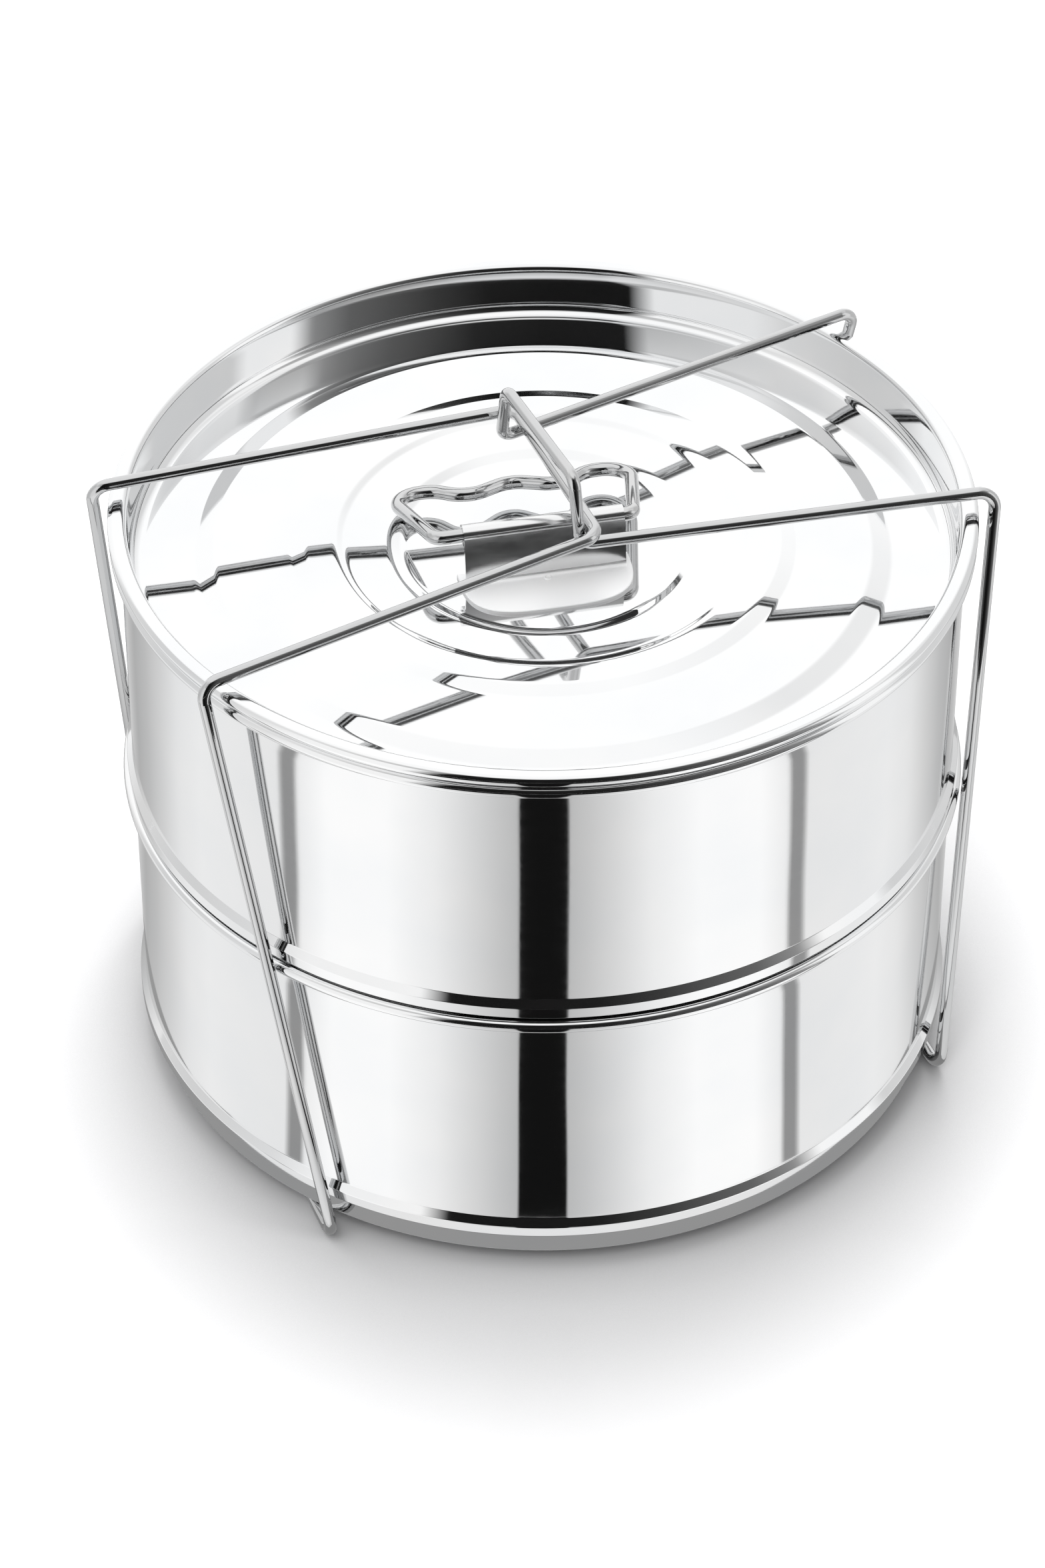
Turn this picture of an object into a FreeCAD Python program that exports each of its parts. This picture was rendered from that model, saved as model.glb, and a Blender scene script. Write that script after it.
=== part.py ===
"""Two-tier steamer insert set: two nesting round pans, a recessed lid and a wire carrying sling.

Millimetres, +Z up. The origin is on the table under the axis of the pans. X runs along the
sling, from its left wire loop to its right one.
"""

import FreeCAD, Part
import math
import os
import re

import Sketcher

SIZES = {
    # sheet metal
    "sheet": 0.6,
    "bracket_sheet": 0.8,
    # pans, heights from the underside of the foot
    "wall_outer": 97.1,
    "rim_centre": 98.0,
    "rim_bead": 1.5,
    "rim_height": 73.4,
    "step_outer": 98.4,
    "step_seat": 97.6,
    "step_under": 6.9,
    "step_lip": 7.9,
    "step_top": 10.55,
    "step_shoulder": 12.4,
    "step_corner": 0.4,
    "foot_outer": 95.9,
    "foot_land": 4.6,
    "foot_corner": 1.8,
    "base_recess": 3.0,
    "pan_lift": 3.3,
    "stack_gap": 0.3,
    # lid, heights from the plane where its rim sits
    "lid_rim_centre": 98.2,
    "lid_rim_bead": 1.45,
    "lid_wall_outer": 95.9,
    "lid_floor": 9.9,
    "lid_corner": 3.0,
    "lid_draft": 0.5,
    "panel_bend": 5.0,
    "soft_step_outer": 80.5,
    "soft_step_inner": 75.5,
    "soft_step_rise": 1.6,
    "panel_rise": 0.6,
    "crown_outer": 58.5,
    "crown_inner": 54.5,
    "crown_rise": 0.9,
    "ring_outer": 48.0,
    "ring_inner": 45.7,
    "ring_drop": 0.8,
    "ring_fall": 0.4,
    "dish_outer": 35.6,
    "dish_inner": 32.4,
    "dish_drop": 1.1,
    # handle bracket, turned about the axis of the pans
    "bracket_turn": -9.2,
    "bracket_mid": -2.0,
    "bracket_width": 37.4,
    "hinge_back": -8.5,
    "hinge_height": 11.7,
    "plate_radius": 21.0,
    "plate_mid": -4.3,
    "weld_radius": 1.0,
    # lid handle
    "handle_wire": 3.3,
    "handle_hinge_half": 23.0,
    "handle_half": 29.0,
    "handle_depth": 28.2,
    "handle_dip": 22.0,
    "handle_hump": 28.2,
    "handle_shift": -1.8,
    "handle_droop": 14.5,
    "handle_fit": 0.05,
    "hinge_bend": 2.6,
    "corner_bend": 6.4,
    "wave_bend": 7.0,
    # sling
    "sling_wire": 2.9,
    "leg_foot_x": 78.3,
    "leg_foot_y": 64.7,
    "leg_top_x": 95.8,
    "leg_top_y": 39.0,
    "left_top": 152.7,
    "right_top": 153.3,
    "left_bar_x": 3.2,
    "left_bar_y": 26.0,
    "left_bar_top": 157.2,
    "bail_front_x": -0.3,
    "bail_back_x": -1.8,
    "bail_foot_front": 23.2,
    "bail_foot_back": 21.4,
    "bail_foot": 153.8,
    "bail_top_front": 19.2,
    "bail_top_back": 18.0,
    "bail_top": 169.3,
    "latch_start": -8.0,
    "sling_bend": 4.0,
    "bail_bend": 3.2,
    # tie wires under the pans
    "tie_wire": 2.5,
    "tie_reach": 81.6,
    "tie_y": 36.0,
    "tie_bend": 2.0,
}


# ---------------------------------------------------------------- document helpers

def new_sheet(doc):
    """The driving sizes, one alias each, in plain millimetres and degrees."""
    sheet = doc.addObject("Spreadsheet::Sheet", "Sizes")
    for row, (alias, number) in enumerate(SIZES.items(), start=1):
        sheet.set("A%d" % row, alias)
        sheet.set("B%d" % row, str(number))
        sheet.setAlias("B%d" % row, alias)
    doc.recompute()
    return sheet


def size(name):
    return float(DOC.Sizes.get(name))


def linked(text):
    """An expression with every alias written as a cell of the sheet."""
    return re.sub(r"[a-z]\w*", lambda word: "Sizes." + word.group(), text)


def bind(item, prop, text):
    item.setExpression(prop, linked(text))


def origin_plane(body, role):
    return [plane for plane in body.Origin.OriginFeatures if plane.Role == role][0]


def new_body(label):
    body = DOC.addObject("PartDesign::Body", label)
    body.Label = label
    return body


def new_sketch(body, name, role):
    sketch = body.newObject("Sketcher::SketchObject", name)
    sketch.AttachmentSupport = (origin_plane(body, role), [""])
    sketch.MapMode = "FlatFace"
    return sketch


def add_outline(sketch, corners):
    """A closed outline whose corners are pairs of expressions; "0" puts one on an axis."""
    count = len(corners)
    for index in range(count):
        ends = []
        for step in (index, (index + 1) % count):
            angle = 2 * math.pi * step / count
            ends.append(FreeCAD.Vector(50 + 40 * math.cos(angle), 40 * math.sin(angle), 0))
        sketch.addGeometry(Part.LineSegment(*ends))
    for index in range(count):
        sketch.addConstraint(Sketcher.Constraint("Coincident", index, 2, (index + 1) % count, 1))
    for index, pair in enumerate(corners):
        for kind, axis, text in zip(("DistanceX", "DistanceY"), (-2, -1), pair):
            if text == "0":
                sketch.addConstraint(Sketcher.Constraint("PointOnObject", index, 1, axis))
                continue
            number = sketch.addConstraint(Sketcher.Constraint(kind, -1, 1, index, 1, 10.0))
            bind(sketch, "Constraints[%d]" % number, text)


def add_circle(sketch, radius, across, up):
    circle = Part.Circle(FreeCAD.Vector(10, 10, 0), FreeCAD.Vector(0, 0, 1), 5)
    index = sketch.addGeometry(circle)
    for kind, text in (("DistanceX", across), ("DistanceY", up)):
        number = sketch.addConstraint(Sketcher.Constraint(kind, -1, 1, index, 3, 10.0))
        bind(sketch, "Constraints[%d]" % number, text)
    number = sketch.addConstraint(Sketcher.Constraint("Radius", index, 5.0))
    bind(sketch, "Constraints[%d]" % number, radius)


def revolve(body, name, corners):
    sketch = new_sketch(body, name + "_outline", "XZ_Plane")
    add_outline(sketch, corners)
    turned = body.newObject("PartDesign::Revolution", name)
    turned.Profile = sketch
    turned.ReferenceAxis = (sketch, ["V_Axis"])
    turned.Angle = 360
    return turned


def add_bead(body, name, centre, radius, height):
    """A rolled bead: a ring of round section about the axis."""
    bead = body.newObject("PartDesign::AdditiveTorus", name)
    bind(bead, "Radius1", centre)
    bind(bead, "Radius2", radius)
    bead.AttachmentSupport = (origin_plane(body, "XY_Plane"), [""])
    bead.MapMode = "FlatFace"
    bind(bead, "AttachmentOffset.Base.z", height)
    return bead


def round_rings(body, name, rings, radius):
    """Fillet the ring edges at the given pairs of radius and height."""
    DOC.recompute()
    base = body.Tip
    names = []
    for number, edge in enumerate(base.Shape.Edges, start=1):
        if not isinstance(edge.Curve, Part.Circle):
            continue
        for ring, height in rings:
            same_radius = abs(edge.Curve.Radius - ring) < 0.01
            if same_radius and abs(edge.Curve.Center.z - height) < 0.01:
                names.append("Edge%d" % number)
    if len(names) < len(rings):
        raise ValueError("%s: found %d of %d edges" % (name, len(names), len(rings)))
    fillet = body.newObject("PartDesign::Fillet", name)
    fillet.Base = (base, names)
    bind(fillet, "Radius", radius)
    return fillet


def pad(body, sketch, name, length, both_ways=False):
    raised = body.newObject("PartDesign::Pad", name)
    raised.Profile = sketch
    raised.Midplane = both_ways
    bind(raised, "Length", length)
    return raised


# ---------------------------------------------------------------- bent wire

def path_edges(corners, closed):
    """Straight runs joined by tangent arcs; each corner is (point, bend radius)."""
    count = len(corners)
    points = [FreeCAD.Vector(*corner[0]) for corner in corners]
    starts, ends, arcs = list(points), list(points), [None] * count
    bent = range(count) if closed else range(1, count - 1)
    for index in bent:
        here, before, after = points[index], points[index - 1], points[(index + 1) % count]
        inward = (before - here).normalize()
        outward = (after - here).normalize()
        half = math.acos(max(-1.0, min(1.0, inward.dot(outward)))) / 2
        reach = corners[index][1] / math.tan(half)
        starts[index] = here + inward * reach
        ends[index] = here + outward * reach
        bisector = (inward + outward).normalize()
        middle = here + bisector * (corners[index][1] / math.sin(half) - corners[index][1])
        arcs[index] = Part.Arc(starts[index], middle, ends[index]).toShape()
    edges = []
    runs = range(count) if closed else range(count - 1)
    for index in runs:
        after = (index + 1) % count
        edges.append(Part.LineSegment(ends[index], starts[after]).toShape())
        if arcs[after] is not None:
            edges.append(arcs[after])
    return edges


def bent_wire(label, corners, wire, closed=False):
    """A round wire swept along its centre line."""
    path = DOC.addObject("Part::Feature", label + "_centre_line")
    path.Shape = Part.Wire(path_edges(corners, closed))
    first = path.Shape.Edges[0]
    start = first.valueAt(first.FirstParameter)
    along = first.tangentAt(first.FirstParameter)
    section = DOC.addObject("Part::Circle", label + "_section")
    bind(section, "Radius", wire + " / 2")
    section.Placement = FreeCAD.Placement(start, FreeCAD.Rotation(FreeCAD.Vector(0, 0, 1), along))
    rod = DOC.addObject("Part::Sweep", label)
    rod.Label = label
    rod.Sections = [section]
    rod.Spine = (path, ["Edge%d" % (number + 1) for number in range(len(path.Shape.Edges))])
    rod.Solid = True
    rod.Frenet = False
    return rod


# ---------------------------------------------------------------- pans

def make_pan(label, lift):
    """A straight-walled pan: rolled rim, and a pressed-out step above its nesting foot."""
    body = new_body(label)
    revolve(body, label + "_shell", [
        ("0", "base_recess"),
        ("foot_outer - foot_land", "base_recess"),
        ("foot_outer - foot_land", "0"),
        ("foot_outer", "0"),
        ("foot_outer", "step_under"),
        ("step_seat", "step_under"),
        ("step_outer", "step_lip"),
        ("step_outer", "step_top"),
        ("wall_outer", "step_shoulder"),
        ("wall_outer", "rim_height"),
        ("wall_outer - sheet", "rim_height"),
        ("wall_outer - sheet", "step_shoulder - sheet / 3"),
        ("step_outer - sheet", "step_top - sheet / 3"),
        ("step_outer - sheet", "step_lip + sheet / 2"),
        ("step_seat - sheet / 2", "step_under + sheet"),
        ("foot_outer - sheet", "step_under + sheet"),
        ("foot_outer - sheet", "sheet"),
        ("foot_outer - foot_land + sheet", "sheet"),
        ("foot_outer - foot_land + sheet", "base_recess + sheet"),
        ("0", "base_recess + sheet"),
    ])
    round_rings(body, label + "_foot_corner", [(size("foot_outer"), 0.0)], "foot_corner - sheet")
    round_rings(body, label + "_step_corner",
                [(size("step_outer"), size("step_top")), (size("wall_outer"), size("step_shoulder"))],
                "step_corner")
    add_bead(body, label + "_rim_bead", "rim_centre", "rim_bead", "rim_height")
    bind(body, "Placement.Base.z", lift)
    return body


# ---------------------------------------------------------------- lid

def lid_rings():
    """The lid's panel from its centre out: radius and height of each corner of its steps."""
    outer = "-lid_floor"
    soft = outer + " + soft_step_rise"
    shoulder = soft + " + panel_rise"
    crown = shoulder + " + crown_rise"
    ring = crown + " - ring_drop"
    lip = ring + " - ring_fall"
    dish = lip + " - dish_drop"
    return [
        ("dish_inner", dish), ("dish_outer", lip),
        ("ring_inner", ring), ("ring_outer", crown),
        ("crown_inner", crown), ("crown_outer", shoulder),
        ("soft_step_inner", soft), ("soft_step_outer", outer),
    ]


def make_lid():
    """A pressed lid: rolled rim, deep recess, stepped panel with a sunk centre dish."""
    body = new_body("lid")
    steps = lid_rings()
    centre = steps[0][1]
    top = [("0", centre)] + steps
    wall_inner = "lid_wall_outer - sheet"
    rim = [
        (wall_inner + " - lid_draft", "-lid_floor"),
        (wall_inner, "2 * lid_rim_bead"),
        ("lid_rim_centre", "2 * lid_rim_bead"),
        ("lid_rim_centre", "2 * lid_rim_bead - sheet"),
        ("lid_wall_outer", "2 * lid_rim_bead - sheet"),
        ("lid_wall_outer - lid_draft", "-lid_floor - sheet"),
    ]
    under = [(radius, height + " - sheet") for radius, height in reversed(steps)]
    revolve(body, "lid_panel", top + rim + under + [("0", centre + " - sheet")])

    inner = size("lid_wall_outer") - size("sheet")
    floor = -size("lid_floor")
    round_rings(body, "lid_well_corner", [(inner - size("lid_draft"), floor)], "lid_corner")
    round_rings(body, "lid_rim_curl", [(inner, 2 * size("lid_rim_bead"))], "lid_rim_bead")
    soft = floor + size("soft_step_rise")
    shoulder = soft + size("panel_rise")
    crown = shoulder + size("crown_rise")
    ring = crown - size("ring_drop")
    lip = ring - size("ring_fall")
    round_rings(body, "lid_panel_bends", [
        (size("dish_inner"), lip - size("dish_drop")), (size("dish_outer"), lip),
        (size("ring_inner"), ring), (size("ring_outer"), crown),
        (size("crown_inner"), crown), (size("crown_outer"), shoulder),
        (size("soft_step_inner"), soft), (size("soft_step_outer"), floor),
    ], "panel_bend")
    add_bead(body, "lid_rim_bead_ring", "lid_rim_centre", "lid_rim_bead", "lid_rim_bead")
    bind(body, "Placement.Base.z", LID_SEAT)
    return body


# ---------------------------------------------------------------- handle bracket and handle

def make_bracket():
    """A sheet bracket: rounded plate on the lid's dish, upright web, curl round the handle."""
    body = new_body("handle_bracket")
    half = "bracket_width / 2"
    front = "hinge_back - handle_wire / 2 - handle_fit - bracket_sheet"

    plate = new_sketch(body, "plate_outline", "XY_Plane")
    add_circle(plate, "plate_radius", "bracket_mid", "plate_mid")
    pad(body, plate, "plate", "bracket_sheet")
    trim = new_sketch(body, "plate_trim", "XY_Plane")
    add_outline(trim, [
        ("bracket_mid - 2 * plate_radius", "hinge_back"),
        ("bracket_mid + 2 * plate_radius", "hinge_back"),
        ("bracket_mid + 2 * plate_radius", "plate_mid + 2 * plate_radius"),
        ("bracket_mid - 2 * plate_radius", "plate_mid + 2 * plate_radius"),
    ])
    cut = body.newObject("PartDesign::Pocket", "plate_back")
    cut.Profile = trim
    cut.Type = "ThroughAll"
    cut.Midplane = True

    web = new_sketch(body, "web_outline", "XY_Plane")
    add_outline(web, [
        ("bracket_mid - " + half, front),
        ("bracket_mid + " + half, front),
        ("bracket_mid + " + half, front + " + bracket_sheet"),
        ("bracket_mid - " + half, front + " + bracket_sheet"),
    ])
    pad(body, web, "web", "hinge_height")

    curl = new_sketch(body, "curl_outline", "YZ_Plane")
    add_circle(curl, "handle_wire / 2 + handle_fit + bracket_sheet", "hinge_back", "hinge_height")
    add_circle(curl, "handle_wire / 2 + handle_fit", "hinge_back", "hinge_height")
    pad(body, curl, "curl", "bracket_width", both_ways=True)
    bind(curl, "AttachmentOffset.Base.z", "bracket_mid")

    weld = new_sketch(body, "weld_outline", "XY_Plane")
    add_circle(weld, "weld_radius", "bracket_mid", "hinge_back - 4 * weld_radius")
    dimple = body.newObject("PartDesign::Pocket", "weld_dimple")
    dimple.Profile = weld
    dimple.Reversed = True
    dimple.Type = "Length"
    bind(weld, "AttachmentOffset.Base.z", "bracket_sheet - sheet / 3")
    bind(dimple, "Length", "sheet")
    bind(body, "Placement.Base.z", DISH_TOP)
    body.Placement.Rotation = FreeCAD.Rotation(FreeCAD.Vector(0, 0, 1), size("bracket_turn"))
    return body


def handle_corners():
    """The grip's outline in its own plane: along the hinge, then out from it."""
    half, deep = size("handle_half"), size("handle_depth")
    dip, hump = size("handle_dip"), size("handle_hump")
    right = [
        ((size("handle_hinge_half"), 0), size("hinge_bend")),
        ((half, deep), size("corner_bend")),
        ((0.62 * half, deep), size("wave_bend")),
        ((0.39 * half, dip), size("wave_bend")),
    ]
    left = [((-across, out), bend) for (across, out), bend in reversed(right)]
    return right + [((0, hump), size("wave_bend"))] + left


def make_handle():
    """The lid's flip handle: one closed wire, waved for two fingers, lying towards the back."""
    along = size("bracket_mid") + size("handle_shift")
    corners = [((along + across, out, 0), bend) for (across, out), bend in handle_corners()]
    handle = bent_wire("lid_handle", corners, "handle_wire", closed=True)
    turn = FreeCAD.Rotation(FreeCAD.Vector(0, 0, 1), size("bracket_turn"))
    hinge = turn.multVec(FreeCAD.Vector(0, size("hinge_back"), 0))
    droop = FreeCAD.Rotation(FreeCAD.Vector(1, 0, 0), -size("handle_droop"))
    handle.Placement = FreeCAD.Placement(
        FreeCAD.Vector(hinge.x, hinge.y, hinge_z()), turn.multiply(droop))
    return handle


def hinge_z():
    return dish_top_z() + size("hinge_height")


def dish_top_z():
    drops = size("ring_drop") + size("ring_fall") + size("dish_drop")
    rises = size("soft_step_rise") + size("panel_rise") + size("crown_rise")
    return lid_seat_z() - size("lid_floor") + rises - drops


def lid_seat_z():
    return size("pan_lift") + tier_pitch() + size("rim_height") + size("rim_bead") + size("stack_gap")


def tier_pitch():
    return size("rim_height") + size("rim_bead") - size("step_under") + size("stack_gap")


TIER = "rim_height + rim_bead - step_under + stack_gap"
LID_SEAT = "pan_lift + " + TIER + " + rim_height + rim_bead + stack_gap"
DISH_TOP = (LID_SEAT + " - lid_floor + soft_step_rise + panel_rise + crown_rise"
            " - ring_drop - ring_fall - dish_drop")


# ---------------------------------------------------------------- sling

def leg_corners(side, y_side):
    """A sling leg from the table up: its foot and its top corner."""
    bend = size("sling_bend")
    foot = (side * size("leg_foot_x"), y_side * size("leg_foot_y"), size("sling_wire") / 2)
    height = size("left_top") if side < 0 else size("right_top")
    top = (side * size("leg_top_x"), y_side * size("leg_top_y"), height)
    return [(foot, bend), (top, bend)]


def latch_cut(y_side):
    """Where the left loop's springy latch end starts on each top wire."""
    top = (-size("leg_top_x"), y_side * size("leg_top_y"), size("left_top"))
    end = (size("left_bar_x"), y_side * size("left_bar_y"), size("left_bar_top"))
    share = (size("latch_start") - top[0]) / (end[0] - top[0])
    return tuple(a + share * (b - a) for a, b in zip(top, end))


def make_left_loop():
    """The left loop: legs, the bar under the pans and the top wires up to the latch end."""
    front = leg_corners(-1, -1)
    back = leg_corners(-1, 1)
    corners = [(latch_cut(-1), 0)] + front[::-1] + back + [(latch_cut(1), 0)]
    return bent_wire("left_loop", corners, "sling_wire")


def make_latch_end():
    """The left loop's latch end: it springs over the carrying bail."""
    bend = size("sling_bend")
    bar = [((size("left_bar_x"), y * size("left_bar_y"), size("left_bar_top")), bend) for y in (-1, 1)]
    corners = [(latch_cut(-1), 0)] + bar + [(latch_cut(1), 0)]
    return bent_wire("left_latch_end", corners, "sling_wire")


def make_right_loop():
    """The right loop: legs, the bar under the pans, top wires and the raised carrying bail."""
    bar_middle = (size("leg_foot_x"), 0, size("sling_wire") / 2)
    bail_ends = {
        -1: (size("bail_front_x"), -size("bail_foot_front"), -size("bail_top_front")),
        1: (size("bail_back_x"), size("bail_foot_back"), size("bail_top_back")),
    }
    bail_middle = (
        (size("bail_front_x") + size("bail_back_x")) / 2,
        (size("bail_top_back") - size("bail_top_front")) / 2,
        size("bail_top"),
    )
    halves = []
    for y_side, (x, foot_y, top_y) in bail_ends.items():
        bail_side = [
            ((x, foot_y, size("bail_foot")), size("bail_bend")),
            ((x, top_y, size("bail_top")), size("bail_bend")),
        ]
        corners = [(bar_middle, 0)] + leg_corners(1, y_side) + bail_side + [(bail_middle, 0)]
        label = "right_loop_front" if y_side < 0 else "right_loop_back"
        halves.append(bent_wire(label, corners, "sling_wire"))
    loop = DOC.addObject("Part::MultiFuse", "right_loop")
    loop.Label = "right_loop"
    loop.Shapes = halves
    return loop


def make_tie(label, y_side):
    """A tie wire under the pans, hooked over both bars so that the loops keep their distance."""
    reach, y, bend = size("tie_reach"), y_side * size("tie_y"), size("tie_bend")
    high = size("pan_lift") + size("base_recess") - size("tie_wire") / 2
    corners = [
        ((-reach, y, 0), 0), ((-reach, y, high), bend),
        ((reach, y, high), bend), ((reach, y, 0), 0),
    ]
    return bent_wire(label, corners, "tie_wire")


# ---------------------------------------------------------------- build and export

def check(item):
    DOC.recompute()
    for one in DOC.Objects:
        if "Invalid" in one.State or "Error" in one.State:
            raise ValueError("%s: %s" % (one.Label, one.State))
    if item.Shape.isNull() or not item.Shape.isValid() or not item.Shape.Solids:
        raise ValueError("%s has no valid solid" % item.Label)


DOC = FreeCAD.newDocument("steamer_insert_set")
new_sheet(DOC)

NODES = [
    make_pan("lower_pan", "pan_lift"),
    make_pan("upper_pan", "pan_lift + " + TIER),
    make_lid(),
    make_bracket(),
    make_handle(),
    make_left_loop(),
    make_latch_end(),
    make_right_loop(),
    make_tie("base_tie_front", -1),
    make_tie("base_tie_back", 1),
]

os.makedirs("parts", exist_ok=True)
for node in NODES:
    check(node)
    node.Shape.exportStep("parts/%s.step" % node.Label)
    print("%-16s volume %8.1f mm3" % (node.Label, node.Shape.Volume))
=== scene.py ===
"""Looks of the two-tier steamer insert set: polished steel in a pale studio. Metres, +Z up.

The origin is on the table under the axis of the pans. X runs along the wire sling.
"""

import math

import bpy
from mathutils import Matrix, Vector


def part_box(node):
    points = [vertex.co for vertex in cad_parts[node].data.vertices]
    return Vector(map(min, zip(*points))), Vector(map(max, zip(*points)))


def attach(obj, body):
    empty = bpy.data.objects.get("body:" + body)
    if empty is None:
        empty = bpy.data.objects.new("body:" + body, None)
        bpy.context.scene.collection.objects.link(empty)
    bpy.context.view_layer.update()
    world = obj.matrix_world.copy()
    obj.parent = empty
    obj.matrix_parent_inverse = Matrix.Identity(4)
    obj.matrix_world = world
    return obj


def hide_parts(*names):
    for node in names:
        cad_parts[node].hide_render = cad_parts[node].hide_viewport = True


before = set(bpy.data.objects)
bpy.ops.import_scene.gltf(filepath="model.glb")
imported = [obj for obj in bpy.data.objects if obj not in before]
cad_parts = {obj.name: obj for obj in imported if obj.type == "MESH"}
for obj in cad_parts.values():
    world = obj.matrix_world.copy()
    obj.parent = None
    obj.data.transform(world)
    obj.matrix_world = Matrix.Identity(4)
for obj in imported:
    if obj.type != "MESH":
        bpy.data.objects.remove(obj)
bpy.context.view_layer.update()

MM = 0.001

# Sheet metal sizes in millimetres. Heights count from the lowest point of the CAD node.
SHEET = 0.6
PAN = {
    "wall": 97.1, "foot": 95.9, "foot_round": 1.8, "land": 4.6, "land_bend": 1.0, "recess": 3.0,
    "step_outer": 98.4, "step_seat": 97.6, "step_under": 6.9, "step_lip": 7.9, "step_top": 10.55,
    "step_shoulder": 12.4, "step_corner": 0.4, "step_fold": 0.3, "neck": 1.2,
    "rim_centre": 98.0, "rim_bead": 1.5, "rim_height": 73.4,
}
LID = {
    "wall": 95.9, "rim_centre": 98.2, "rim_bead": 1.45, "rim_height": 11.95,
    "rim_curl": 1.6, "rim_tuck": 0.4, "well_round": 3.0, "draft": 0.5, "bend": 5.0,
    "soft_outer": 80.5, "soft_inner": 75.5, "soft_rise": 1.6, "panel_rise": 0.6,
    "crown_outer": 58.5, "crown_inner": 54.5, "crown_rise": 0.9,
    "ring_outer": 48.0, "ring_inner": 45.7, "ring_drop": 0.8, "ring_fall": 0.4,
    "dish_outer": 35.6, "dish_inner": 32.4, "dish_drop": 1.1,
}
# The handle bracket in its own frame: the hinge runs along X, the plate reaches towards -Y.
BRACKET = {
    "turn": -9.2, "middle": -2.0, "width": 37.4, "sheet": 0.8, "hinge_y": -8.5, "hinge_z": 11.7,
    "curl_outer": 2.5, "lean": 9.5, "fold": 1.2, "plate_width": 40.0, "plate_depth": 16.8,
    "plate_power": 0.6, "plate_bevel": 0.15, "heel": 2.0, "curl_end": -120,
    "satin_margin": 0.3, "weld_y": -14.0, "weld_radius": 1.0,
}
WELD_DOME = ((1.0, -0.01), (0.7, 0.25), (0.4, 0.02))   # share of the weld's radius, height
TURNS = 360        # steps round the axis of a turned piece
BEND_STEPS = 7     # steps round a bend in the sheet
BEAD_STEPS = 26    # steps round a rolled rim
LID_CURL_STEPS = 10    # steps round the inner edge of the lid's rim
CURL_STEPS = 40    # steps round the curl that holds the grip
PLATE_STEPS = 96   # steps along the front edge of the bracket plate
WELD_STEPS = 36    # steps round the spot weld
HOLD = 0.15        # distance of the edge loops that keep flats flat beside a rounded corner
SHARP = 35         # degrees between faces from which an edge is shaded sharp
ON_AXIS = 1e-6     # radius below which a point of an outline is a pole


# ---------------------------------------------------------------- outlines and turned pieces

def arc(centre_r, centre_z, radius, start, end, steps):
    """Points on an arc, from one angle to another in degrees."""
    angles = [math.radians(start + (end - start) * i / steps) for i in range(steps + 1)]
    return [(centre_r + radius * math.cos(a), centre_z + radius * math.sin(a)) for a in angles]


def rounded(corners):
    """An open line of (r, z, bend radius) corners; each bend is an arc with holding points."""
    points = [corners[0][:2]]
    for before, here, after in zip(corners, corners[1:], corners[2:]):
        corner = Vector(here[:2])
        if here[2] <= 0:
            points.append(tuple(corner))
            continue
        inward = (Vector(before[:2]) - corner).normalized()
        outward = (Vector(after[:2]) - corner).normalized()
        half = inward.angle(outward) / 2
        reach = here[2] / math.tan(half)
        centre = corner + (inward + outward).normalized() * (here[2] / math.sin(half))
        first, last = corner + inward * reach - centre, corner + outward * reach - centre
        turn = math.atan2(first.cross(last), first.dot(last))
        points.append(tuple(corner + inward * (reach + HOLD)))
        for i in range(BEND_STEPS + 1):
            points.append(tuple(centre + Matrix.Rotation(turn * i / BEND_STEPS, 2) @ first))
        points.append(tuple(corner + outward * (reach + HOLD)))
    points.append(corners[-1][:2])
    return points


def turned(name, outline, base_z):
    """A closed outline in millimetres turned about Z; its points at radius 0 become poles."""
    verts, rings = [], []
    for r, z in outline:
        height = base_z + z * MM
        if r < ON_AXIS:
            rings.append([len(verts)] * TURNS)
            verts.append((0, 0, height))
            continue
        rings.append(list(range(len(verts), len(verts) + TURNS)))
        for i in range(TURNS):
            angle = 2 * math.pi * i / TURNS
            verts.append((r * MM * math.cos(angle), r * MM * math.sin(angle), height))
    faces = []
    for lower, upper in zip(rings, rings[1:]):
        for i in range(TURNS):
            j = (i + 1) % TURNS
            loop = [lower[i], lower[j], upper[j], upper[i]]
            face = [v for k, v in enumerate(loop) if v not in loop[:k]]
            if len(face) > 2:
                faces.append(face)
    return new_mesh(name, verts, faces)


def new_mesh(name, verts, faces):
    mesh = bpy.data.meshes.new(name)
    mesh.from_pydata(verts, [], faces)
    mesh.validate()
    mesh.shade_smooth()
    mesh.set_sharp_from_angle(angle=math.radians(SHARP))
    piece = bpy.data.objects.new(name, mesh)
    bpy.context.scene.collection.objects.link(piece)
    return piece


# ---------------------------------------------------------------- pans and lid

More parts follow.
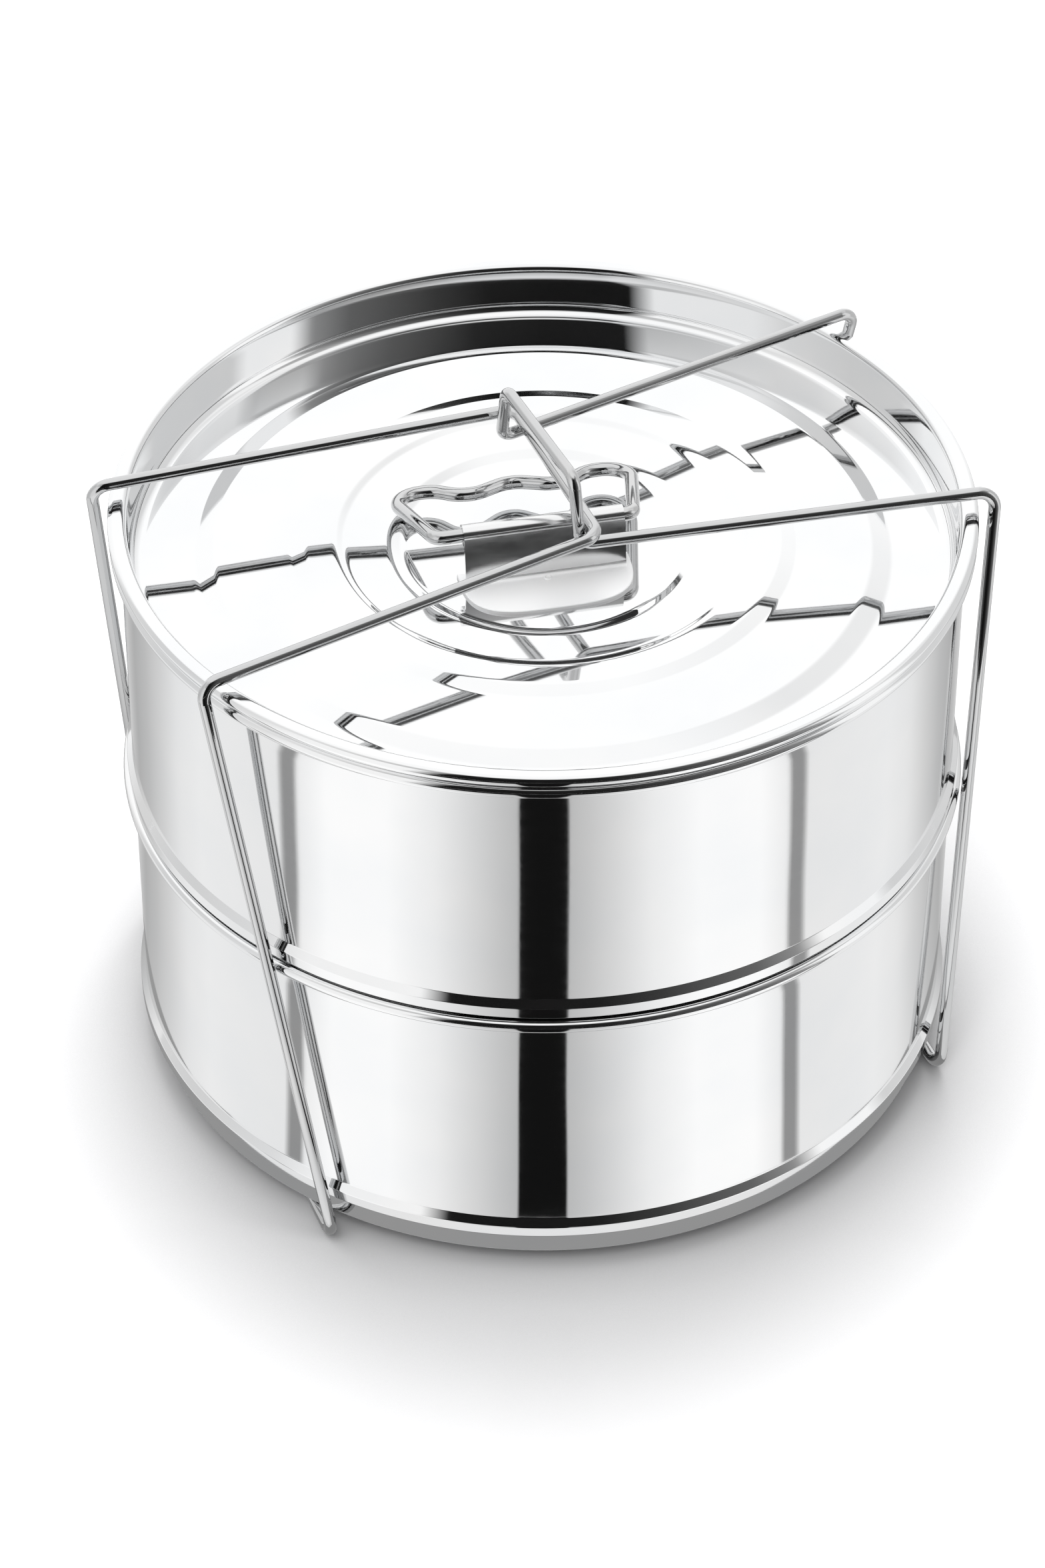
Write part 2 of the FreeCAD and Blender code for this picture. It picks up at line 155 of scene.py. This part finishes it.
def pan_outline():
    """From the middle of the underside, out and up to the rim, and back down the inside."""
    p = PAN
    fold, bend, corner = p["step_fold"], p["land_bend"], p["step_corner"]
    inner_foot, inner_wall = p["foot"] - SHEET, p["wall"] - SHEET
    land = p["foot"] - p["land"]
    floor = p["recess"] + SHEET
    outside = rounded([
        (0, p["recess"], 0), (land, p["recess"], bend), (land, 0, bend),
        (p["foot"], 0, p["foot_round"] - SHEET), (p["foot"], p["step_under"], fold),
        (p["step_seat"], p["step_under"], fold), (p["step_outer"], p["step_lip"], fold),
        (p["step_outer"], p["step_top"], corner), (p["wall"], p["step_shoulder"], corner),
        (p["wall"], p["rim_height"] - p["rim_bead"] - 4, 0),
        (p["wall"], p["rim_height"] - p["neck"], 0),
    ])
    rim = arc(p["rim_centre"], p["rim_height"], p["rim_bead"], -127, 180, BEAD_STEPS)
    groove = p["step_outer"] - SHEET
    inside = rounded([
        rim[-1] + (0,), (inner_wall, p["step_shoulder"] - SHEET / 3, fold),
        (groove, p["step_top"] - SHEET / 3, fold), (groove, p["step_lip"] + SHEET / 2, fold),
        (p["step_seat"] - SHEET / 2, p["step_under"] + SHEET, fold),
        (inner_foot, p["step_under"] + SHEET, fold), (inner_foot, SHEET, bend),
        (land + SHEET, SHEET, bend), (land + SHEET, floor, bend), (0, floor, 0),
    ])
    return outside[:-1] + rim[1:] + inside[1:]


def lid_steps(shift):
    """The stepped panel from its centre out, moved down by shift."""
    s = LID
    outer = SHEET - shift
    soft = outer + s["soft_rise"]
    shoulder = soft + s["panel_rise"]
    crown = shoulder + s["crown_rise"]
    ring = crown - s["ring_drop"]
    lip = ring - s["ring_fall"]
    dish = lip - s["dish_drop"]
    return [
        (0, dish, 0),
        (s["dish_inner"], dish, s["bend"]), (s["dish_outer"], lip, s["bend"]),
        (s["ring_inner"], ring, s["bend"]), (s["ring_outer"], crown, s["bend"]),
        (s["crown_inner"], crown, s["bend"]), (s["crown_outer"], shoulder, s["bend"]),
        (s["soft_inner"], soft, s["bend"]), (s["soft_outer"], outer, s["bend"]),
    ]


def lid_outline():
    """From the middle of the top face out to the rolled rim, and back along the underside."""
    s = LID
    inner_wall, roll = s["wall"] - SHEET, s["rim_curl"]
    crest = s["rim_height"] + s["rim_bead"]
    top = rounded(lid_steps(0) + [
        (inner_wall - s["draft"], SHEET, s["well_round"]),
        (inner_wall, s["rim_height"] - roll, 0), (inner_wall, crest, 0),
    ])
    curl = arc(inner_wall + roll, crest - roll, roll, 176, 90, LID_CURL_STEPS)
    bead = arc(s["rim_centre"], s["rim_height"], s["rim_bead"], 88, -160, BEAD_STEPS)
    below = rounded(
        [bead[-1] + (0,), (s["wall"], s["rim_height"] - 1.5, s["rim_tuck"]),
         (s["wall"] - s["draft"], 0, s["well_round"] + SHEET)]
        + lid_steps(SHEET)[::-1]
    )
    return top[:-1] + curl + bead + below[1:]


def bracket_strip():
    """The strip seen from its end: web leaning back from the plate, curled round the hinge."""
    b = BRACKET
    lean = math.radians(b["lean"])
    facing = Vector((-math.cos(lean), math.sin(lean)))
    down = Vector((-math.sin(lean), -math.cos(lean)))
    hinge = Vector((b["hinge_y"], b["hinge_z"]))
    inner = b["curl_outer"] - b["sheet"]
    front, rear = hinge + facing * b["curl_outer"], hinge + facing * inner
    foot = front + down * ((front.y - b["sheet"]) / math.cos(lean))
    heel = rear + down * ((rear.y - b["sheet"] / 2) / math.cos(lean))
    start = 180 - b["lean"]
    toe = foot.x - b["heel"]
    return (
        rounded([
            (toe, b["sheet"] / 2, 0), (toe, b["sheet"] + 0.01, 0),
            (foot.x, foot.y, b["fold"]), (front.x, front.y, 0),
        ])
        + arc(hinge.x, hinge.y, b["curl_outer"], start, b["curl_end"], CURL_STEPS)[1:]
        + arc(hinge.x, hinge.y, inner, b["curl_end"], start, CURL_STEPS)
        + [tuple(heel)]
    )


def plate_edge(inset):
    """The front edge of the plate, full at the corners, from the web's left end to its right."""
    b = BRACKET
    reach, depth = b["plate_width"] / 2 - inset, b["plate_depth"] - inset
    points = []
    for i in range(PLATE_STEPS + 1):
        angle = math.pi * i / PLATE_STEPS
        across = math.copysign(abs(math.cos(angle)) ** b["plate_power"], -math.cos(angle))
        forward = abs(math.sin(angle)) ** b["plate_power"]
        points.append((b["middle"] + reach * across, b["hinge_y"] - depth * forward))
    return points


def make_bracket():
    """The handle bracket: satin plate with a spot weld, and the strip standing on it."""
    b = BRACKET
    left, right = b["middle"] - b["width"] / 2, b["middle"] + b["width"] / 2
    strip = bracket_strip()
    count = len(strip)
    verts = [(x, y, z) for x in (left, right) for y, z in strip]
    faces = [(k, (k + 1) % count, count + (k + 1) % count, count + k) for k in range(count)]
    faces += [tuple(range(count))[::-1], tuple(range(count, 2 * count))]

    base, span = len(verts), PLATE_STEPS + 1
    levels = ((0.0, 0.0), (0.0, b["sheet"] - b["plate_bevel"]), (b["plate_bevel"], b["sheet"]))
    for inset, level in levels:
        verts += [(x, y, level) for x, y in plate_edge(inset)]
    for ring in range(len(levels) - 1):
        for k in range(span):
            here, following = base + ring * span + k, base + ring * span + (k + 1) % span
            faces.append((here, following, following + span, here + span))
    faces += [tuple(range(base, base + span))[::-1], tuple(range(base + 2 * span, base + 3 * span))]

    weld = len(verts)
    for share, height in WELD_DOME:
        ring = arc(b["middle"], b["weld_y"], b["weld_radius"] * share, 0, 360, WELD_STEPS)[:-1]
        verts += [(x, y, b["sheet"] + height) for x, y in ring]
    for ring in range(len(WELD_DOME) - 1):
        for k in range(WELD_STEPS):
            here = weld + ring * WELD_STEPS + k
            following = weld + ring * WELD_STEPS + (k + 1) % WELD_STEPS
            faces.append((here, following, following + WELD_STEPS, here + WELD_STEPS))
    faces.append(tuple(range(len(verts) - WELD_STEPS, len(verts))))

    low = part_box("handle_bracket")[0]
    place = Matrix.Rotation(math.radians(b["turn"]), 4, "Z")
    place.translation = (0, 0, low.z)
    bracket = new_mesh("bracket_sheet", [place @ (Vector(v) * MM) for v in verts], faces)
    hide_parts("handle_bracket")
    return bracket


def make_turned(name, node, outline):
    """A turned piece that stands at the height of the CAD node that it replaces."""
    piece = turned(name, outline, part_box(node)[0].z)
    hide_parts(node)
    return piece


# ---------------------------------------------------------------- materials

TINT_SCALE, TINT_SHARE = 38, (0.955, 0.965, 0.975)     # cloudy tint of the steel
HAZE_SCALE, HAZE_SPREAD = 160, (0.6, 1.5)              # patches of haze in its gloss
WAVE_SCALE, POLISH_SCALE = 16, 900                     # slow wave and hairline marks
SATIN = {"edge": 0.0006, "roughness": 0.55, "metallic": 0.4}


def steel(name, tone, roughness, wave, grain, lines=0.0, satin_top=0.0):
    """Polished steel: fine haze in its gloss, a slow wave in the sheet and hairline polish marks.

    Below the height satin_top, in metres, the polish gives way to a satin finish.
    """
    material = bpy.data.materials.new(name)
    material.use_nodes = True
    nodes, links = material.node_tree.nodes, material.node_tree.links
    shader = nodes["Principled BSDF"]
    shader.inputs["Metallic"].default_value = 1.0

    place = nodes.new("ShaderNodeTexCoord")

    def noise(scale, detail, stretch=(1, 1, 1)):
        mapping = nodes.new("ShaderNodeMapping")
        mapping.inputs["Scale"].default_value = stretch
        texture = nodes.new("ShaderNodeTexNoise")
        texture.inputs["Scale"].default_value = scale
        texture.inputs["Detail"].default_value = detail
        links.new(place.outputs["Object"], mapping.inputs["Vector"])
        links.new(mapping.outputs["Vector"], texture.inputs["Vector"])
        return texture.outputs["Fac"]

    def spread(value, low, high):
        rescale = nodes.new("ShaderNodeMapRange")
        rescale.inputs["To Min"].default_value = low
        rescale.inputs["To Max"].default_value = high
        links.new(value, rescale.inputs["Value"])
        return rescale.outputs["Result"]

    tint = nodes.new("ShaderNodeValToRGB")
    tint.color_ramp.elements[0].position = 0.3
    tint.color_ramp.elements[1].position = 0.7
    tint.color_ramp.elements[0].color = tuple(tone * share for share in TINT_SHARE) + (1,)
    tint.color_ramp.elements[1].color = (tone, tone, tone, 1)
    links.new(noise(TINT_SCALE, 3), tint.inputs["Fac"])
    links.new(tint.outputs["Color"], shader.inputs["Base Color"])

    def from_satin(value, height):
        """A node that runs from the satin's value below satin_top to another above it."""
        change = nodes.new("ShaderNodeMapRange")
        change.inputs["From Min"].default_value = satin_top
        change.inputs["From Max"].default_value = satin_top + SATIN["edge"]
        change.inputs["To Min"].default_value = value
        links.new(height, change.inputs["Value"])
        return change

    clear, hazy = HAZE_SPREAD
    haze = spread(noise(HAZE_SCALE, 5, (1, 1, 3)), roughness * clear, roughness * hazy)
    if satin_top:
        split = nodes.new("ShaderNodeSeparateXYZ")
        links.new(place.outputs["Object"], split.inputs["Vector"])
        finish = from_satin(SATIN["roughness"], split.outputs["Z"])
        links.new(haze, finish.inputs["To Max"])
        haze = finish.outputs["Result"]
        dullness = from_satin(SATIN["metallic"], split.outputs["Z"])
        links.new(dullness.outputs["Result"], shader.inputs["Metallic"])
    links.new(haze, shader.inputs["Roughness"])

    def bump(distance, height):
        relief = nodes.new("ShaderNodeBump")
        relief.inputs["Strength"].default_value = 1.0
        relief.inputs["Distance"].default_value = distance
        links.new(height, relief.inputs["Height"])
        return relief

    slow = bump(wave, noise(WAVE_SCALE, 1))
    fine = bump(grain, noise(POLISH_SCALE, 2, (1, 1, 1 + lines)))
    links.new(slow.outputs["Normal"], fine.inputs["Normal"])
    links.new(fine.outputs["Normal"], shader.inputs["Normal"])
    return material


def clad(piece, material):
    piece.data.materials.clear()
    piece.data.materials.append(material)


# ---------------------------------------------------------------- studio

# shade_reach and tones set the painted shade in the floor's colour close under the set, from
# nearest the set out to the open floor.
FLOOR = {
    "half": 6.0, "level": -0.0002, "shade_reach": 0.08, "roughness": 0.6, "specular": 0.15,
    "tones": ((0.45, (0.5, 0.5, 0.505)), (0.95, (0.9, 0.9, 0.905))),
}
# Brightness that a wall of the pans shows at each angle off the line to the camera, in degrees.
WALL_TONES = [
    (0, 0.006), (3.2, 0.006), (3.6, 0.5), (6, 0.56), (10, 0.68), (15, 0.84), (22, 0.97), (31, 0.97),
    (35.5, 0.85), (36.3, 0.28), (38.2, 0.28), (39.2, 0.8), (55, 0.83), (62, 0.76), (70, 0.62),
    (80, 0.48), (90, 0.4), (125, 0.8), (133, 0.2), (141, 0.75), (160, 0.92), (172, 0.2), (180, 0.2),
]
# Brightness of the studio at each heading, in degrees to the right of straight behind the set.
STUDIO_TONES = [
    (-180, 0.008), (-156, 0.008), (-149, 0.9), (-120, 0.88), (-108, 0.72), (-85, 0.64), (-62, 0.66),
    (-48, 0.95), (-20, 1.0), (18, 1.0), (32, 0.86), (42, 0.66), (84, 0.65), (90, 0.93), (106, 0.93),
    (113, 0.26), (125, 0.12), (150, 0.04), (165, 0.012), (180, 0.008),
]
# The same from about 40 degrees above the table.
UPPER_TONES = [
    (-180, 0.012), (-156, 0.012), (-149, 0.5), (-130, 0.6), (-115, 0.7), (-95, 0.76), (-75, 0.95),
    (-48, 1.0), (15, 1.0), (30, 0.85), (50, 0.76), (62, 0.86), (80, 0.84), (88, 0.42), (105, 0.36),
    (118, 0.2), (135, 0.1), (160, 0.02), (180, 0.012),
]
GAIN = 1.16        # strength of a tone of 1
OVERHEAD = 0.95    # brightness straight above
SOFT = 0.92        # brightness of the even light that falls on everything
UPPER_FROM, UPPER_FULL = 33, 42          # degrees above the table where UPPER_TONES takes over
OVERHEAD_FROM, OVERHEAD_FULL = 54, 72    # and where the light overhead does
# Cards round the foot: name, inner and outer radius, tone. They lie lowest of the cards.
FOOT_CARDS = (("shade", 0.0962, 0.1078, 0.285), ("step", 0.1078, 0.1135, 0.78))
FOOT_CARD_LEVEL, FAR_CARD_LEVEL, WALL_CARD_LEVEL = 0.0002, 0.0003, 0.0004
WALL_CARD_NEAR, WALL_CARD_FAR = 0.0155, 0.305    # along each card, from the wall
FAR_CARD_INNER, FAR_CARD_OUTER = 0.36, 5.0
FAN_STEP = 0.4     # degrees between the wall cards
FAN_TURN = 60      # degrees off the camera line up to which a wall mirrors at twice its own angle
CAMERA = {
    "place": (-0.3460, -0.8607, 0.8404), "pitch": 39.88, "bearing": -21.61,
    "sensor": 36, "lens": 115.9, "clip": (0.05, 30),
}
HIDDEN_FROM = ("camera", "diffuse", "shadow", "transmission", "volume_scatter")


def glowing(name, strength):
    """Light card material, dimmed by the colour attribute called glow."""
    material = bpy.data.materials.new(name)
    material.use_nodes = True
    nodes, links = material.node_tree.nodes, material.node_tree.links
    nodes.clear()
    light = nodes.new("ShaderNodeEmission")
    light.inputs["Strength"].default_value = strength
    glow = nodes.new("ShaderNodeAttribute")
    glow.attribute_name = "glow"
    out = nodes.new("ShaderNodeOutputMaterial")
    links.new(glow.outputs["Color"], light.inputs["Color"])
    links.new(light.outputs["Emission"], out.inputs["Surface"])
    return material


def make_floor():
    """A pale floor with painted shade: its colour turns greyer close under the set."""
    half = FLOOR["half"]
    corners = [(-half, -half, 0), (half, -half, 0), (half, half, 0), (-half, half, 0)]
    floor = new_mesh("studio_floor", corners, [(0, 1, 2, 3)])
    material = bpy.data.materials.new("studio_floor")
    material.use_nodes = True
    nodes, links = material.node_tree.nodes, material.node_tree.links
    shader = nodes["Principled BSDF"]
    # Painted shade: ambient occlusion darkens the floor's base colour where the set stands near.
    nearby = nodes.new("ShaderNodeAmbientOcclusion")
    nearby.samples = 8
    nearby.inputs["Distance"].default_value = FLOOR["shade_reach"]
    shade = nodes.new("ShaderNodeValToRGB")
    for stop, (position, colour) in zip(shade.color_ramp.elements, FLOOR["tones"]):
        stop.position = position
        stop.color = colour + (1,)
    links.new(nearby.outputs["AO"], shade.inputs["Fac"])
    links.new(shade.outputs["Color"], shader.inputs["Base Color"])
    shader.inputs["Roughness"].default_value = FLOOR["roughness"]
    shader.inputs["Specular IOR Level"].default_value = FLOOR["specular"]
    clad(floor, material)
    floor.location.z = FLOOR["level"]


def tone_at(table, angle):
    """The tone that a table gives between its angles."""
    for (a, low), (b, high) in zip(table, table[1:]):
        if a <= angle <= b:
            return low + (high - low) * (angle - a) / (b - a)
    return table[-1][1]


def lay_cards(name, pairs, tones, height):
    """A strip of floor between pairs of points that only the polish sees, toned pair by pair."""
    verts = [(p.x, p.y, height) for pair in pairs for p in pair]
    faces = [(k, k + 1, k + 3, k + 2) for k in range(0, len(verts) - 2, 2)]
    cards = new_mesh(name, verts, faces)
    layer = cards.data.color_attributes.new("glow", "FLOAT_COLOR", "POINT")
    for i, tone in enumerate(tones):
        for corner in (2 * i, 2 * i + 1):
            layer.data[corner].color = (tone, tone, tone, 1)
    clad(cards, glowing(name + "_light", GAIN))
    for ray in HIDDEN_FROM:
        setattr(cards, "visible_" + ray, False)


def heading(angle, radius):
    """The point at a distance from the axis in a direction on the floor."""
    return Vector((math.cos(angle), math.sin(angle))) * radius


def make_wall_cards(towards_camera):
    """Cards fanned round the set, each running the way that the wall beside it mirrors."""
    pairs, tones = [], []
    for i in range(int(360 / FAN_STEP) + 1):
        off = -180 + FAN_STEP * i
        mirrored = 2 * off if abs(off) < FAN_TURN else off + math.copysign(FAN_TURN, off)
        wall = heading(towards_camera + math.radians(off), PAN["wall"] * MM)
        away = towards_camera + math.radians(mirrored)
        near, far = heading(away, WALL_CARD_NEAR), heading(away, WALL_CARD_FAR)
        pairs.append((wall + near, wall + far))
        tones.append(tone_at(WALL_TONES, abs(off)))
    lay_cards("wall_cards", pairs, tones, WALL_CARD_LEVEL)


def make_foot_cards():
    """Rings close round the foot: grey under the set's own shade, then bright below the step."""
    for name, inner, outer, tone in FOOT_CARDS:
        turns = [math.radians(angle) for angle in range(0, 361, 2)]
        pairs = [(heading(turn, inner), heading(turn, outer)) for turn in turns]
        lay_cards("foot_cards_" + name, pairs, [tone] * len(pairs), FOOT_CARD_LEVEL)


def make_far_cards(behind):
    """The floor further out, toned like the studio that stands over it."""
    pairs, tones = [], []
    for angle in range(-180, 181):
        turn = behind - math.radians(angle)
        pairs.append((heading(turn, FAR_CARD_INNER), heading(turn, FAR_CARD_OUTER)))
        tones.append(tone_at(STUDIO_TONES, angle))
    lay_cards("far_cards", pairs, tones, FAR_CARD_LEVEL)


def make_world(back):
    """The soft studio round the set: bright above, behind and beside it, dark behind the camera."""
    world = bpy.data.worlds.new("studio")
    bpy.context.scene.world = world
    world.use_nodes = True
    nodes, links = world.node_tree.nodes, world.node_tree.links
    direction = nodes.new("ShaderNodeTexCoord").outputs["Generated"]

    def along(axis):
        dot = nodes.new("ShaderNodeVectorMath")
        dot.operation = "DOT_PRODUCT"
        dot.inputs[1].default_value = axis
        links.new(direction, dot.inputs[0])
        return dot.outputs["Value"]

    turn = nodes.new("ShaderNodeMath")
    turn.operation = "ARCTAN2"
    links.new(along((back.y, -back.x, 0)), turn.inputs[0])
    links.new(along((back.x, back.y, 0)), turn.inputs[1])
    share = nodes.new("ShaderNodeMapRange")
    share.inputs["From Min"].default_value = -math.pi
    share.inputs["From Max"].default_value = math.pi
    links.new(turn.outputs["Value"], share.inputs["Value"])

    def round_about(table):
        ramp = nodes.new("ShaderNodeValToRGB")
        stops = ramp.color_ramp.elements
        while len(stops) < len(table):
            stops.new(0.5)
        for stop, (angle, tone) in zip(stops, table):
            stop.position = angle / 360 + 0.5
            stop.color = (tone, tone, tone, 1)
        links.new(share.outputs["Result"], ramp.inputs["Fac"])
        return ramp.outputs["Color"]

    def above(low, high):
        height = nodes.new("ShaderNodeMapRange")
        height.interpolation_type = "SMOOTHSTEP"
        height.inputs["From Min"].default_value = math.sin(math.radians(low))
        height.inputs["From Max"].default_value = math.sin(math.radians(high))
        links.new(up, height.inputs["Value"])
        return height.outputs["Result"]

    def blend(factor, lower):
        mix = nodes.new("ShaderNodeMix")
        mix.data_type = "RGBA"
        links.new(factor, mix.inputs["Factor"])
        links.new(lower, mix.inputs["A"])
        return mix

    up = along((0, 0, 1))
    band = blend(above(UPPER_FROM, UPPER_FULL), round_about(STUDIO_TONES))
    links.new(round_about(UPPER_TONES), band.inputs["B"])
    sky = blend(above(OVERHEAD_FROM, OVERHEAD_FULL), band.outputs["Result"])
    sky.inputs["B"].default_value = (OVERHEAD, OVERHEAD, OVERHEAD, 1)

    mirrored = nodes.new("ShaderNodeBackground")
    mirrored.inputs["Strength"].default_value = GAIN
    links.new(sky.outputs["Result"], mirrored.inputs["Color"])
    soft = nodes["Background"]
    soft.inputs["Color"].default_value = (1, 1, 1, 1)
    soft.inputs["Strength"].default_value = SOFT
    choose = nodes.new("ShaderNodeMixShader")
    links.new(nodes.new("ShaderNodeLightPath").outputs["Is Glossy Ray"], choose.inputs["Fac"])
    links.new(soft.outputs["Background"], choose.inputs[1])
    links.new(mirrored.outputs["Background"], choose.inputs[2])
    links.new(choose.outputs["Shader"], nodes["World Output"].inputs["Surface"])


def make_lamp(name, place, size, power):
    """A soft area lamp aimed at the set; the polish doesn't mirror it."""
    data = bpy.data.lights.new(name, "AREA")
    data.shape = "DISK"
    data.size = size
    data.energy = power
    lamp = bpy.data.objects.new(name, data)
    bpy.context.scene.collection.objects.link(lamp)
    lamp.location = place
    lamp.rotation_mode = "QUATERNION"
    lamp.rotation_quaternion = Vector(place).to_track_quat("Z", "Y")
    lamp.visible_glossy = False


def make_camera():
    """Looks down at the set from in front and a little to its left; returns its heading."""
    pitch, bearing = math.radians(CAMERA["pitch"]), math.radians(CAMERA["bearing"])
    data = bpy.data.cameras.new("camera")
    data.sensor_width = CAMERA["sensor"]
    data.lens = CAMERA["lens"]
    data.clip_start, data.clip_end = CAMERA["clip"]
    camera = bpy.data.objects.new("camera", data)
    camera.location = CAMERA["place"]
    camera.rotation_euler = (math.pi / 2 - pitch, 0, bearing)
    bpy.context.scene.collection.objects.link(camera)
    bpy.context.scene.camera = camera
    return Vector((-math.sin(bearing), math.cos(bearing)))


# ---------------------------------------------------------------- the set

BACK = make_camera()
# Just above the top of the bracket's plate, and below the bend of its web.
PLATE_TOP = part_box("handle_bracket")[0].z + (BRACKET["sheet"] + BRACKET["satin_margin"]) * MM
sheet_steel = steel("polished_sheet", tone=0.86, roughness=0.05, wave=0.0004, grain=0.0000004)
lid_steel = steel("polished_lid", tone=0.88, roughness=0.035, wave=0.0002, grain=0.0000003)
strip_steel = steel("polished_strip", tone=0.84, roughness=0.14, wave=0.0001, grain=0.000001,
                    satin_top=PLATE_TOP)
# The wires' base colour is darker than the sheet's: painted shade standing in for the darker
# surroundings that the wires mirror.
darkened_wire_steel = steel("polished_wire", tone=0.62, roughness=0.03, wave=0.00005, grain=0.0000004,
                   lines=6)

for node, body in (("lower_pan", "base"), ("upper_pan", "upper_tier")):
    pan = make_turned(node + "_sheet", node, pan_outline())
    clad(pan, sheet_steel)
    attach(pan, body)

lid = make_turned("lid_sheet", "lid", lid_outline())
clad(lid, lid_steel)
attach(lid, "lid")

bracket = make_bracket()
clad(bracket, strip_steel)
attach(bracket, "lid")

WIRES = (
    "lid_handle", "left_loop", "left_latch_end", "right_loop", "base_tie_front", "base_tie_back",
)
for node in WIRES:
    clad(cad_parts[node], darkened_wire_steel)

make_floor()
make_foot_cards()
make_wall_cards(math.atan2(-BACK.y, -BACK.x))
make_far_cards(math.atan2(BACK.y, BACK.x))
make_world(BACK)
make_lamp("key", place=(0.4, 0.9, 1.9), size=1.6, power=28)
make_lamp("fill", place=(-0.9, -0.6, 1.7), size=1.6, power=14)

view = bpy.context.scene.view_settings
view.view_transform = "Standard"
view.look = "None"
